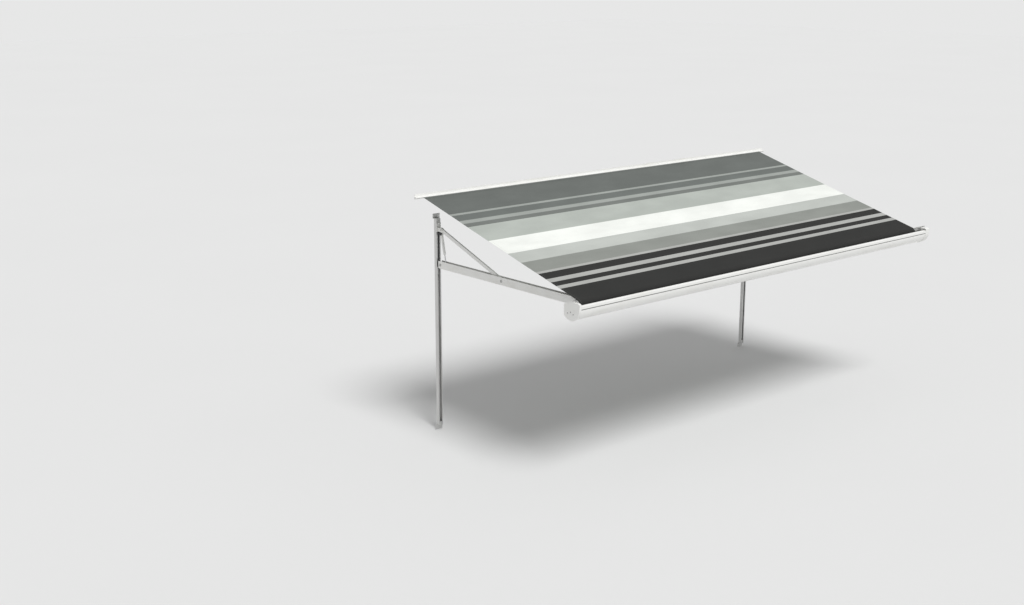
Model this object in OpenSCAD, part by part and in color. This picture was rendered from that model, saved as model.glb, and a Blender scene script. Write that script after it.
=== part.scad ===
// Roll out awning with a wall rail, two sliding arms and a front roller housing.
// Millimetres. X runs along the wall, -Y points away from the wall, +Z is up.
// The origin lies on the back of the rail, level with the fabric's bead.

/* [Fabric] */
// Width of the striped fabric
fabric_w = 4200; // [3000:50:5500]
// Level distance from the bead to the front lip when open
fabric_reach = 1890; // [1700:10:2300]
// Thickness of the fabric
fabric_t = 0.8; // [0.5:0.1:1.5]

/* [Wall rail] */
// Length of rail past each edge of the fabric
rail_over = 68; // [30:1:150]
// Height of the screw flange above the bead
rail_flange_up = 30; // [20:1:50]
// Height of the screw flange below the bead
rail_flange_down = 12; // [9:1:14]
// Thickness of the screw flange
rail_flange_t = 4; // [2:0.5:6]
// Distance of the bead from the wall
bead_out = 20; // [16:1:26]
// Radius of the bead sewn into the fabric
bead_r = 4; // [2.5:0.5:5]
// Room around the bead in its groove
bead_clear = 0.6; // [0.3:0.1:1]
// Wall around the bead groove
rail_wall = 3.4; // [2:0.2:4]
// Width of the slot that the fabric leaves by
rail_slot = 4; // [2.5:0.5:5]
// Radius of the rail's screw holes
rail_hole_r = 3.2; // [2:0.1:4]
// Number of screw holes in the rail
rail_holes = 7; // [3:1:15]
// Thickness of the rail's end caps
rail_cap_t = 6; // [3:1:12]

/* [Wall channels] */
// Distance of each arm's middle in from the fabric's edge
arm_inset = 143; // [100:1:400]
// Width of a wall channel
channel_w = 42; // [38:1:60]
// Depth of a wall channel
channel_d = 32; // [28:1:34]
// Wall of a wall channel
channel_wall = 3; // [2:0.5:4]
// Width of the channel's front slot
channel_slot = 20; // [20:1:26]
// Distance of the channel's top below the bead
channel_top = 190; // [186:1:200]
// Width of the screw plates at the channel's ends
plate_w = 70; // [62:1:110]
// Height of the screw plates
plate_h = 40; // [30:1:60]
// Thickness of the screw plates
plate_t = 4; // [3:0.5:6]
// Distance between the two holes of a screw plate
plate_hole_gap = 48; // [44:1:52]
// Radius of the holes in the screw plates
plate_hole_r = 3.2; // [2:0.1:4]
// Length of the tongue that a screw plate has inside the channel
tongue_h = 30; // [15:1:60]
// Height of the rubber bumper on the foot's tongue
bumper_h = 10; // [5:1:20]

/* [Arms] */
// Height of the arm pivot below the bead when open
arm_drop = 568; // [450:1:700]
// Height of the front lip above the arm pivots when open
lip_up = 38; // [32:1:44]
// Distance of all arm pivots from the wall
pivot_out = 75; // [74:1:84]
// Outer width of an arm
arm_w = 40; // [38:1:50]
// Outer height of an arm
arm_h = 62; // [58:1:64]
// Wall of an arm
arm_wall = 2.5; // [2:0.5:3]
// Length of arm behind its pivot
arm_tail = 25; // [20:1:25]
// Radius of the arm's pivot pin
pivot_pin_r = 8; // [5:0.5:9]
// Thickness of a pivot head
head_t = 3; // [2:0.5:5]
// How far a pivot head stands out round its pin
head_rim = 5; // [3:0.5:6]
// Radius of the spacer bolts between an arm's cheeks
spacer_r = 6; // [4:0.5:8]
// Room left under the rail when the awning is shut
fold_gap = 20; // [16:1:40]

/* [Struts] */
// Height of the strut's top pivot above the arm pivot when open
strut_rise = 290; // [288:1:300]
// Height of the strut's bar
strut_h = 28; // [20:1:30]
// Width of the strut's bar
strut_w = 14; // [10:1:16]
// Radius of the strut's pivot pins
strut_pin_r = 7; // [4:0.5:8]
// Radius of the strut's eyes
strut_eye_r = 16; // [14:0.5:17]
// Thickness of the bracket that holds the strut
bracket_t = 4; // [3:0.5:5]
// Height of that bracket's base above the pivot
bracket_up = 56; // [40:1:60]
// Height of that bracket's base below the pivot
bracket_down = 20; // [17:1:22]
// Radius of the bracket's screw heads
screw_head_r = 3.6; // [2.5:0.1:4]

/* [Carriages] */
// Length of the carriage's shoe above the arm pivot
shoe_up = 267; // [265:1:270]
// Length of the carriage's shoe below the arm pivot
shoe_down = 45; // [30:1:60]
// Width of the carriage's lugs
lug_w = 19; // [18:0.5:19]
// Radius of the lug at the arm pivot
lug_r = 22; // [16:1:24]
// Thickness of the side pads that run in the channel
pad_t = 2.7; // [1.5:0.1:4]
// Length of a side pad
pad_h = 40; // [20:1:80]

/* [Gas springs] */
// Height of the spring's top pivot above the arm pivot
spring_up = 255; // [250:1:258]
// Distance of the spring's lower pivot out along the arm
spring_along = 55; // [54:1:62]
// Radius of the gas cylinder
cylinder_r = 11; // [8:0.5:12]
// Length of the gas cylinder from its pivot
cylinder_len = 168; // [150:1:170]
// Radius of the piston rod
piston_rod_r = 5; // [3:0.5:5.5]
// Radius of the spring's pivot pins
spring_pin_r = 5; // [3:0.5:5.5]
// Width of the spring's eyes
spring_eye_w = 10; // [8:0.5:10]

/* [Roller housing] */
// Distance of the housing's back behind the lip
housing_back = 139; // [136:1:145]
// Height of the housing's back wall below the lip
back_h = 92; // [90:1:94]
// Wall of the housing's shell
housing_wall = 3; // [2:0.5:4]
// Radius of the housing's round front
belly_r = 102; // [99:1:104]
// Distance of the round front's middle behind the lip
belly_back = 86; // [84:1:89]
// Distance of the round front's middle below the lip
belly_down = 23.5; // [21:0.5:25]
// Distance from the lip down to the groove under it
lip_h = 28; // [25:1:31]
// Height of the dark groove under the lip
groove_h = 8; // [5:0.5:10]
// Wall of the front lip
lip_wall = 4; // [3:0.5:5]
// Distance of the left end cap's outer face past the fabric's edge
cap_over = 63; // [58:1:80]
// Distance of the right end cap's outer face past the fabric's edge
right_cap_over = 134; // [110:1:160]
// Length of the left end cap
cap_len = 20; // [16:1:42]
// Length of the right end cap
right_cap_len = 55; // [16:1:80]
// Thickness of an end cap's plate
cap_plate = 4; // [3:0.5:6]
// Wall of the end cap's rim
cap_wall = 5; // [4.5:0.5:6]
// How far the end cap stands out round the shell
cap_skin = 4; // [3:0.5:4]
// Radius of the cap screws' heads
cap_screw_r = 5; // [3:0.5:6]

/* [Roller] */
// Outer radius of the roller tube
tube_r = 38; // [36:0.5:40]
// Wall of the roller tube
tube_wall = 2; // [1.5:0.5:3]
// Thickness of the turns that stay on the tube when open
wrap_t = 2.9; // [1.6:0.1:4]
// Distance of the roller's middle behind the lip
roller_back = 80; // [78:1:86]
// Radius of the motor's head
motor_head_r = 30; // [26:0.5:31]
// Radius of the motor's body
motor_r = 25; // [20:0.5:26]
// Length of the motor
motor_len = 560; // [400:10:800]
// Radius of the motor's output shaft
motor_shaft_r = 8; // [6:0.5:12]
// Length of the wheels and plugs in the tube
plug_len = 30; // [20:1:50]
// Radius of the idler's fixed stub
stub_r = 12; // [8:0.5:16]

/* [Hidden] */
$fn = 96;

// Clearances and seats
run_clear = 0.05;
side_clear = 0.3;
fit_clear = 0.5;
stop_clear = 2;
lap = 1;

// Main places, as distance out from the wall and height
lip_out = bead_out + fabric_reach;
fabric_drop = arm_drop - lip_up;
lip_z = -fabric_drop;
slope = atan2(fabric_drop, fabric_reach);
arm_x = fabric_w / 2 - arm_inset;
pivot_y = -pivot_out;
pivot_z = -arm_drop;
strut_z = pivot_z + strut_rise;
arm_in = arm_w - 2 * arm_wall;
pin_span = arm_in - 2 * side_clear;

// The nose of the end cap is the housing's foremost edge
nose_out = 22;
front_out = lip_out + nose_out;

// The carriage's travel shuts the housing just under the rail. The strut and the
// stretch of arm below it then lie in one line along the wall
travel = front_out - pivot_out - arm_drop + fold_gap;
arm_joint = (travel * travel + 2 * travel * strut_rise) / (2 * (travel + strut_rise));
strut_len = travel + strut_rise - arm_joint;
strut_tilt = atan2(strut_rise, arm_joint);

// Wall channel, with the carriage's lowest place above its foot
channel_in = channel_w - 2 * channel_wall;
shoe_bottom_shut = pivot_z - travel - shoe_down;
bumper_top = shoe_bottom_shut - stop_clear;
tongue_top = bumper_top - bumper_h;
channel_bottom = tongue_top - tongue_h;
shoe_w = channel_in - 2 * (pad_t + side_clear);
shoe_back = -channel_wall - fit_clear;
shoe_front = -channel_d + channel_wall + fit_clear;
tongue_back = -channel_wall - side_clear;
tongue_front = shoe_front;

// Strut bracket, which fits between the arm's cheeks when shut
bracket_gap = strut_w + 2 * fit_clear;
bracket_base_y = -channel_d - bracket_t;
screw_x = (channel_w + bracket_gap) / 4 + bracket_t / 2;
screw_downs = [8, 30];
screw_t = 3;

// Gas spring
ear_w = (lug_w - spring_eye_w) / 2 - fit_clear;
ear_r = 10;
eye_rim = 4;
spring_eye_r = spring_pin_r + eye_rim;
spring_z = pivot_z + spring_up;
spring_len = norm([spring_along, spring_up]);
spring_shut = spring_up - spring_along;
spring_tilt = atan2(spring_along, spring_up);
stroke = spring_len - spring_shut;
bore_start = 26;
rod_start = bore_start + stroke + stop_clear;

// Housing places, as distance out past the lip and height above it
function cap_x(side) = fabric_w / 2 + (side < 0 ? cap_over : right_cap_over);
function plate_x(side) = cap_x(side) - cap_plate;
function shell_x(side) = cap_x(side) - (side < 0 ? cap_len : right_cap_len);
function seat_x(side) = plate_x(side) - side_clear;
roll_r = tube_r + wrap_t;
roller_v = roller_back * tan(slope) - roll_r / cos(slope);
roller_y = -lip_out + roller_back;
roller_z = lip_z + roller_v;
hood_u = 12;
hood_v = 9;
hood_rise = 4;
heel_u = 10;
heel_v = 6;
keel_u = 33;
keel_v = 23;
keel_turn = -76;
groove_v = -lip_h - groove_h;
belly_end = asin((groove_v + belly_down) / belly_r);
belly_steps = 16;
web_step = 2.5;
web_lean = 2.7;
web_v = -11;
seal_t = 2;

// Arm end bracket, a socket round the arm's end with a flange on the housing's back
flange_w = 100;
flange_t = 6;
flange_up = 20;
flange_down = 44;
socket_len = 115;
socket_wall = 5;
socket_half = arm_w / 2 + side_clear;
back_out = lip_out - housing_back;
flange_out = back_out - flange_t;
arm_end_out = flange_out - side_clear;
bolt_r = 7;
bolt_t = 5;
shank_r = 4;
bolt_x = socket_half + socket_wall + bolt_r + 6;
bolt_spots = [flange_up - bolt_r - 5, bolt_r + 5 - flange_down];
socket_bolt_outs = [flange_out - socket_len / 3, flange_out - 2 * socket_len / 3];

// Roller run
tube_end = fabric_w / 2 + 12;
bracket_r = 22;
motor_start = -tube_end - 6;
motor_end = motor_start + motor_len;
shaft_len = plug_len;
bore_r = tube_r - tube_wall;
stub_flange_r = 20;
stub_flange_t = 6;

// A point of the housing from its distance past the lip and its height above it
function at_lip(u, v) = [-lip_out - u, lip_z + v];

// A point on a circle, and points on an arc
function on_circle(centre, r, turn) = centre + r * [cos(turn), sin(turn)];
function arc_points(centre, r, from, to, steps) =
    [for (i = [0:steps]) on_circle(centre, r, from + (to - from) * i / steps)];

// Left-hand normal of a step along a path
function left_normal(a, b) = [a[1] - b[1], b[0] - a[0]] / norm(b - a);

// Mitred step sideways at a corner between two normals
function mitre(m, n, t) = (m + n) * t / (1 + m * n);

// An open path moved sideways by t, to its left
function beside(path, t) =
    let (last = len(path) - 1)
    let (sides = [for (i = [0:last - 1]) left_normal(path[i], path[i + 1])])
    [for (i = [0:last]) path[i] + mitre(sides[max(i - 1, 0)], sides[min(i, last - 1)], t)];

// A list of points in the other order
function turned(points) = [for (i = [len(points) - 1:-1:0]) points[i]];

// The outline of a wall of thickness t on the left of an open path
function wall_outline(path, t) = concat(path, turned(beside(path, t)));

// A closed outline drawn in by t, for points that run clockwise
function drawn_in(points, t) =
    let (n = len(points))
    [for (i = [0:n - 1])
        let (before = points[(i + n - 1) % n], after = points[(i + 1) % n])
        points[i] + mitre(-left_normal(before, points[i]), -left_normal(points[i], after), t)];

// The shell's outer path below the lip, from the top of its back round to the groove
lower_path = concat(
    [
        [-housing_back, -hood_v],
        [-housing_back, -back_h],
        [heel_u - housing_back, -back_h - heel_v],
        [keel_u - housing_back, -back_h - keel_v]
    ],
    arc_points([-belly_back, -belly_down], belly_r, keel_turn, belly_end, belly_steps)
);
groove_u = lower_path[len(lower_path) - 1][0];
web_foot = [groove_u - web_step, groove_v];
web_top = [web_foot[0] + web_lean, web_v];
lip_foot = web_foot + (web_top - web_foot) * groove_h / (web_v - groove_v);

// The seal in the groove, which stands level on the shell's step
seal_points = [web_foot, lip_foot, beside([web_foot, lip_foot], -seal_t)[1], web_foot + [seal_t, 0]];

// The whole shell, with the hood at the back and the web behind the lip
shell_path = concat([[hood_u - housing_back, hood_rise - hood_v]], lower_path, [web_foot, web_top]);

// The lip's inner face, up the web, over its crest and back to the edge of the fabric's slot
lip_crest = [2.5, -7];
lip_edge = [-6, -8];
lip_path = [lip_foot, web_top, lip_crest, lip_edge];

// The end cap's outline, clockwise from the front of its upright tab
tab_front = -28;
tab_rise = 29;
cap_points = concat(
    [[tab_front, tab_rise], [tab_front, 14], [3, 16], [nose_out, 7], [nose_out - 1, -20]],
    turned(beside(lower_path, -cap_skin))
);

// The mouth in the end cap's rim, which leaves only the plate as its upright tab
mouth_back = 9 - housing_back;
cap_mouth = [
    [mouth_back, -hood_v - cap_wall], [mouth_back, 2 * tab_rise], [tab_front + 8, 2 * tab_rise],
    [tab_front + 8, 17], [tab_front - 8, 17], [tab_front - 8, 0]
];
cap_screw_spots = [[-102, -71], [-71, -60], [-44, -73]];
cap_screw_t = 2.5;

// Outline points moved from the lip to their place
function placed(points) = [for (p = points) at_lip(p[0], p[1])];

// A profile drawn in Y and Z, run from one X to another
module run_x(from, to) {
    translate([from, 0, 0]) rotate([90, 0, 90]) linear_extrude(to - from) children();
}

// A round bar along X
module bar_x(from, to, r, y, z) {
    translate([from, y, z]) rotate([0, 90, 0]) cylinder(h = to - from, r = r);
}

// A box from two corners
module block(low, high) {
    translate(low) cube(high - low);
}

// The rail's outer profile
module rail_profile() {
    nose_r = bead_r + bead_clear + rail_wall;
    translate([-rail_flange_t, -rail_flange_down]) square([rail_flange_t, rail_flange_up + rail_flange_down]);
    translate([-bead_out, -nose_r]) square([bead_out, 2 * nose_r]);
    translate([-bead_out, 0]) circle(nose_r);
}

module awning_rail() {
    length = fabric_w + 2 * rail_over;
    groove_r = bead_r + bead_clear;
    hole_z = (rail_flange_up + groove_r + rail_wall) / 2;
    pitch = (fabric_w - 2 * arm_inset) / (rail_holes - 1);
    color("gainsboro") difference() {
        run_x(-length / 2, length / 2) difference() {
            rail_profile();
            translate([-bead_out, 0]) circle(groove_r);
            translate([-bead_out, 0]) rotate(180 + slope)
                translate([0, -rail_slot / 2]) square([groove_r + 2 * rail_wall, rail_slot]);
        }
        for (i = [0:rail_holes - 1])
            translate([(i - (rail_holes - 1) / 2) * pitch, lap, hole_z])
                rotate([90, 0, 0]) cylinder(h = rail_flange_t + 2 * lap, r = rail_hole_r);
    }
}

module rail_end_cap(side) {
    inner = side * (fabric_w / 2 + rail_over);
    outer = inner + side * rail_cap_t;
    color("white") run_x(min(inner, outer), max(inner, outer)) rail_profile();
}

module fabric_bead() {
    color("dimgray") bar_x(-fabric_w / 2, fabric_w / 2, bead_r, -bead_out, 0);
}

// A channel with a slot in front, in its own X
module channel_section() {
    difference() {
        translate([-channel_w / 2, -channel_d]) square([channel_w, channel_d]);
        translate([-channel_in / 2, channel_wall - channel_d])
            square([channel_in, channel_d - 2 * channel_wall]);
        translate([-channel_slot / 2, -channel_d - lap]) square([channel_slot, channel_wall + 2 * lap]);
    }
}

module wall_channel(side) {
    color("silver") translate([side * arm_x, 0, channel_bottom])
        linear_extrude(-channel_top - channel_bottom) channel_section();
}

// A screw plate beyond one end of a channel, with its tongue inside
module screw_plate(side, end_z, way) {
    plate_far = end_z + way * plate_h;
    tongue_far = end_z - way * tongue_h;
    plate_mid = end_z + way * plate_h / 2;
    color("lightgray") translate([side * arm_x, 0, 0]) difference() {
        union() {
            block([-plate_w / 2, -plate_t, min(end_z, plate_far)], [plate_w / 2, 0, max(end_z, plate_far)]);
            block([-channel_in / 2 + side_clear, tongue_front, min(end_z, tongue_far)],
                [channel_in / 2 - side_clear, tongue_back, max(end_z, tongue_far)]);
            block([-channel_in / 2 + side_clear, tongue_front, min(end_z, end_z + way * plate_t)],
                [channel_in / 2 - side_clear, -plate_t, max(end_z, end_z + way * plate_t)]);
        }
        for (hole_side = [-1, 1])
            translate([hole_side * plate_hole_gap / 2, lap, plate_mid])
                rotate([90, 0, 0]) cylinder(h = plate_t + 2 * lap, r = plate_hole_r);
    }
}

module channel_bumpers() {
    color("black") for (side = [-1, 1])
        translate([side * arm_x, 0, 0])
            block([-channel_in / 2 + side_clear, tongue_front, tongue_top],
                [channel_in / 2 - side_clear, tongue_back, bumper_top]);
}

// The bracket on the channel's face that carries a strut's top end
module strut_bracket(side) {
    cheek_mid = (bracket_gap + bracket_t) / 2;
    color("white") translate([side * arm_x, 0, 0]) difference() {
        union() {
            block([-channel_w / 2, bracket_base_y, strut_z - bracket_down],
                [channel_w / 2, -channel_d, strut_z + bracket_up]);
            for (cheek = [-1, 1])
                translate([cheek * cheek_mid, 0, 0]) run_x(-bracket_t / 2, bracket_t / 2) {
                    translate([pivot_y, strut_z]) circle(strut_eye_r);
                    translate([pivot_y, strut_z - strut_eye_r])
                        square([bracket_base_y - pivot_y, 2 * strut_eye_r]);
                }
        }
        bar_x(-channel_w, channel_w, strut_pin_r + run_clear, pivot_y, strut_z);
    }
}

module bracket_screws() {
    color("gray") for (side = [-1, 1], edge = [-1, 1], down = screw_downs)
        translate([side * arm_x + edge * screw_x, bracket_base_y, strut_z + bracket_up - down])
            rotate([90, 0, 0]) cylinder(h = screw_t, r = screw_head_r);
}

module strut_top_pins() {
    half = bracket_gap / 2 + bracket_t;
    color("gray") for (side = [-1, 1])
        bar_x(side * arm_x - half, side * arm_x + half, strut_pin_r, pivot_y, strut_z);
}

// A strut from its top pivot to its eye between the arm's cheeks
module strut(side) {
    color("white") translate([side * arm_x, pivot_y, strut_z]) rotate([strut_tilt, 0, 0]) difference() {
        run_x(-strut_w / 2, strut_w / 2) {
            circle(strut_eye_r);
            translate([-strut_len, 0]) circle(strut_eye_r);
            translate([-strut_len, -strut_h / 2]) square([strut_len, strut_h]);
        }
        bar_x(-strut_w, strut_w, strut_pin_r + run_clear, 0, 0);
        bar_x(-strut_w, strut_w, strut_pin_r + run_clear, -strut_len, 0);
    }
}

module strut_lower_pin(side) {
    color("gray") bar_x(side * arm_x - pin_span / 2, side * arm_x + pin_span / 2, strut_pin_r,
        pivot_y - arm_joint, pivot_z);
}

module arm_spacer_bolts() {
    color("gray") for (side = [-1, 1])
        translate([side * arm_x, 0, 0])
            bar_x(-pin_span / 2, pin_span / 2, spacer_r, pivot_y - travel / 2, pivot_z);
}

// An arm, open along its top, from its tail to the housing's back
module arm(side) {
    tail_y = pivot_y + arm_tail;
    floor_z = pivot_z - arm_h / 2;
    color("white") translate([side * arm_x, 0, 0]) difference() {
        block([-arm_w / 2, -arm_end_out, floor_z], [arm_w / 2, tail_y, pivot_z + arm_h / 2]);
        block([-arm_in / 2, -arm_end_out - lap, floor_z + arm_wall],
            [arm_in / 2, tail_y + lap, pivot_z + arm_h]);
        bar_x(-arm_w, arm_w, pivot_pin_r + run_clear, pivot_y, pivot_z);
        socket_bores();
    }
}

// The socket round an arm's outer end, with its flange on the housing's back
module arm_end_bracket(side) {
    floor_z = pivot_z - arm_h / 2 - side_clear;
    color("white") translate([side * arm_x, 0, 0]) difference() {
        union() {
            block([-flange_w / 2, -back_out, pivot_z - flange_down],
                [flange_w / 2, -flange_out, pivot_z + flange_up]);
            difference() {
                block([-socket_half - socket_wall, -flange_out, floor_z - socket_wall],
                    [socket_half + socket_wall, -flange_out + socket_len, pivot_z + flange_up]);
                block([-socket_half, -flange_out - lap, floor_z],
                    [socket_half, -flange_out + socket_len + lap, pivot_z + arm_h]);
            }
        }
        flange_bores();
        socket_bores();
    }
}

// Bores for the bolts that hold a flange to the housing's back, in the arm's own X
module flange_bores() {
    for (edge = [-1, 1], spot = bolt_spots)
        translate([edge * bolt_x, -flange_out + lap, pivot_z + spot])
            rotate([90, 0, 0]) cylinder(h = flange_t + housing_wall + 2 * lap, r = shank_r + run_clear);
}

// Bores for the bolts through a socket and its arm's cheeks, in the arm's own X
module socket_bores() {
    for (out = socket_bolt_outs)
        bar_x(-flange_w / 2, flange_w / 2, shank_r + run_clear, -out, pivot_z);
}

module arm_bolts() {
    color("gray") for (side = [-1, 1], edge = [-1, 1]) translate([side * arm_x, 0, 0]) {
        for (spot = bolt_spots)
            translate([edge * bolt_x, -flange_out, pivot_z + spot]) {
                rotate([-90, 0, 0]) cylinder(h = bolt_t, r = bolt_r);
                rotate([90, 0, 0]) cylinder(h = flange_t + housing_wall, r = shank_r);
            }
        for (out = socket_bolt_outs)
            translate([edge * (socket_half + socket_wall), -out, pivot_z]) {
                rotate([0, edge * 90, 0]) cylinder(h = bolt_t, r = bolt_r);
                rotate([0, -edge * 90, 0]) cylinder(h = socket_wall + side_clear + arm_wall, r = shank_r);
            }
    }
}

module strut_bolt_heads() {
    color("gray") for (side = [-1, 1], cheek = [-1, 1]) {
        face = side * arm_x + cheek * arm_w / 2;
        far = face + cheek * head_t;
        bar_x(min(face, far), max(face, far), strut_pin_r + head_rim, pivot_y - arm_joint, pivot_z);
    }
}

module arm_pivot_pins() {
    color("gray") for (side = [-1, 1]) {
        half = arm_w / 2;
        bar_x(side * arm_x - half - head_t, side * arm_x + half + head_t, pivot_pin_r, pivot_y, pivot_z);
        for (cheek = [-1, 1]) {
            face = side * arm_x + cheek * half;
            far = face + cheek * head_t;
            bar_x(min(face, far), max(face, far), pivot_pin_r + head_rim, pivot_y, pivot_z);
        }
    }
}

// A carriage: its shoe in the channel, the arm's lug and the spring's two ears
module carriage(side) {
    ear_mid = (lug_w - ear_w) / 2;
    color("dimgray") translate([side * arm_x, 0, 0]) difference() {
        union() {
            block([-shoe_w / 2, shoe_front, pivot_z - shoe_down], [shoe_w / 2, shoe_back, pivot_z + shoe_up]);
            run_x(-lug_w / 2, lug_w / 2) {
                translate([pivot_y, pivot_z]) circle(lug_r);
                translate([pivot_y, pivot_z - lug_r]) square([shoe_front + lap - pivot_y, 2 * lug_r]);
            }
            for (ear = [-1, 1])
                translate([ear * ear_mid, 0, 0]) run_x(-ear_w / 2, ear_w / 2) {
                    translate([pivot_y, spring_z]) circle(ear_r);
                    translate([pivot_y, spring_z - ear_r]) square([shoe_front + lap - pivot_y, 2 * ear_r]);
                }
            bar_x(-lug_w / 2, lug_w / 2, spring_pin_r, pivot_y, spring_z);
        }
        bar_x(-lug_w, lug_w, pivot_pin_r + run_clear, pivot_y, pivot_z);
    }
}

module slide_pads(side) {
    color("ivory") for (edge = [-1, 1], low = [pivot_z - shoe_down, pivot_z + shoe_up - pad_h]) {
        face = side * arm_x + edge * shoe_w / 2;
        far = face + edge * pad_t;
        block([min(face, far), shoe_front, low], [max(face, far), shoe_back, low + pad_h]);
    }
}

// Draws along the spring, with the top pivot at the origin and -Z down the rod
module along_spring(side) {
    translate([side * arm_x, pivot_y, spring_z]) rotate([-spring_tilt, 0, 0]) children();
}

module gas_cylinder(side) {
    color("black") along_spring(side) difference() {
        union() {
            bar_x(-spring_eye_w / 2, spring_eye_w / 2, spring_eye_r, 0, 0);
            translate([0, 0, -bore_start])
                cylinder(h = bore_start - spring_pin_r - lap, r = spring_eye_w / 2);
            translate([0, 0, -cylinder_len]) cylinder(h = cylinder_len - ear_r - stop_clear, r = cylinder_r);
        }
        bar_x(-lug_w, lug_w, spring_pin_r + run_clear, 0, 0);
        translate([0, 0, -cylinder_len - lap])
            cylinder(h = cylinder_len + lap - bore_start, r = piston_rod_r + run_clear);
    }
}

module gas_rod(side) {
    color("silver") along_spring(side) {
        translate([0, 0, -spring_len]) cylinder(h = spring_len - rod_start, r = piston_rod_r);
        bar_x(-spring_eye_w / 2, spring_eye_w / 2, spring_eye_r, 0, -spring_len);
        bar_x(-pin_span / 2, pin_span / 2, spring_pin_r, 0, -spring_len);
    }
}

module housing_shell() {
    color("white") difference() {
        run_x(-shell_x(-1), shell_x(1)) polygon(placed(wall_outline(shell_path, housing_wall)));
        for (side = [-1, 1])
            translate([side * arm_x, 0, 0]) flange_bores();
    }
}

module front_lip() {
    color("white") run_x(-shell_x(-1), shell_x(1)) polygon(placed(wall_outline(lip_path, -lip_wall)));
}

module lip_seal() {
    color("black") run_x(-shell_x(-1), shell_x(1)) polygon(placed(seal_points));
}

// An end cap, hollowed to leave a plate and a rim round the shell's end, open over the roll
module end_cap(side) {
    color("white") mirror([side < 0 ? 1 : 0, 0, 0]) difference() {
        run_x(shell_x(side), cap_x(side)) polygon(placed(cap_points));
        run_x(shell_x(side) - lap, plate_x(side)) {
            polygon(placed(drawn_in(cap_points, cap_wall)));
            polygon(placed(cap_mouth));
        }
    }
}

module cap_screws() {
    color("gray") for (side = [-1, 1], spot = cap_screw_spots) {
        place = at_lip(spot[0], spot[1]);
        near = side * cap_x(side);
        far = side * (cap_x(side) + cap_screw_t);
        bar_x(min(near, far), max(near, far), cap_screw_r, place[0], place[1]);
    }
}

module motor_bracket() {
    color("gray") bar_x(-seat_x(-1), motor_start, bracket_r, roller_y, roller_z);
}

module tube_motor() {
    head_end = plug_len - tube_end + fit_clear;
    color("dimgray") {
        bar_x(motor_start, head_end, motor_head_r, roller_y, roller_z);
        bar_x(head_end, motor_end, motor_r, roller_y, roller_z);
        bar_x(motor_end, motor_end + shaft_len, motor_shaft_r, roller_y, roller_z);
    }
}

// A round sleeve on the roller's axis
module sleeve(from, to, outer, inner) {
    difference() {
        bar_x(from, to, outer, roller_y, roller_z);
        bar_x(from - lap, to + lap, inner, roller_y, roller_z);
    }
}

module roller_tube() {
    color("silver") sleeve(-tube_end, tube_end, tube_r, bore_r);
}

module fabric_roll() {
    color("darkslategray") sleeve(-fabric_w / 2, fabric_w / 2, roll_r, tube_r + run_clear);
}

module crown_ring() {
    color("ivory") sleeve(-tube_end, plug_len - tube_end, bore_r - run_clear, motor_head_r + run_clear);
}

module drive_wheel() {
    color("ivory")
        sleeve(motor_end + fit_clear, motor_end + shaft_len, bore_r - run_clear, motor_shaft_r + run_clear);
}

module idler_plug() {
    color("ivory") sleeve(tube_end - plug_len, tube_end, bore_r - run_clear, stub_r + run_clear);
}

module idler_stub() {
    color("gray") {
        bar_x(tube_end - plug_len, seat_x(1), stub_r, roller_y, roller_z);
        bar_x(seat_x(1) - stub_flange_t, seat_x(1), stub_flange_r, roller_y, roller_z);
    }
}

// The taut fabric, from its bead to where it meets the roll
module awning_fabric() {
    length = norm([fabric_reach, fabric_drop]);
    start = bead_r + side_clear;
    end = length - roller_back / cos(slope) + roll_r * tan(slope);
    color("slategray") run_x(-fabric_w / 2, fabric_w / 2)
        translate([-bead_out, 0]) rotate(180 + slope)
            translate([start, -fabric_t - side_clear]) square([end - start, fabric_t]);
}

awning_rail();
rail_end_cap(-1);  // rail_end_cap_left
rail_end_cap(1);  // rail_end_cap_right
fabric_bead();
wall_channel(-1);  // wall_channel_left
wall_channel(1);  // wall_channel_right
screw_plate(-1, -channel_top, 1);  // top_plate_left
screw_plate(1, -channel_top, 1);  // top_plate_right
screw_plate(-1, channel_bottom, -1);  // foot_plate_left
screw_plate(1, channel_bottom, -1);  // foot_plate_right
channel_bumpers();
strut_bracket(-1);  // strut_bracket_left
strut_bracket(1);  // strut_bracket_right
bracket_screws();
strut_top_pins();
strut(-1);  // strut_left
strut(1);  // strut_right
strut_lower_pin(-1);  // strut_lower_pin_left
strut_lower_pin(1);  // strut_lower_pin_right
arm_spacer_bolts();
arm(-1);  // arm_left
arm(1);  // arm_right
arm_end_bracket(-1);  // arm_end_bracket_left
arm_end_bracket(1);  // arm_end_bracket_right
arm_bolts();
strut_bolt_heads();
arm_pivot_pins();
carriage(-1);  // carriage_left
carriage(1);  // carriage_right
slide_pads(-1);  // slide_pads_left
slide_pads(1);  // slide_pads_right
gas_cylinder(-1);  // gas_cylinder_left
gas_cylinder(1);  // gas_cylinder_right
gas_rod(-1);  // gas_rod_left
gas_rod(1);  // gas_rod_right
housing_shell();
front_lip();
lip_seal();
end_cap(-1);  // end_cap_left
end_cap(1);  // end_cap_right
cap_screws();
tube_motor();
motor_bracket();
idler_stub();
roller_tube();
fabric_roll();
crown_ring();
drive_wheel();
idler_plug();
awning_fabric();
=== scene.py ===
"""Cloth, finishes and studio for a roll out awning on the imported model's frame."""

import math

import bmesh
import bpy
from bpy.props import FloatProperty, FloatVectorProperty, IntProperty, PointerProperty
from mathutils import Matrix, Vector


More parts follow.
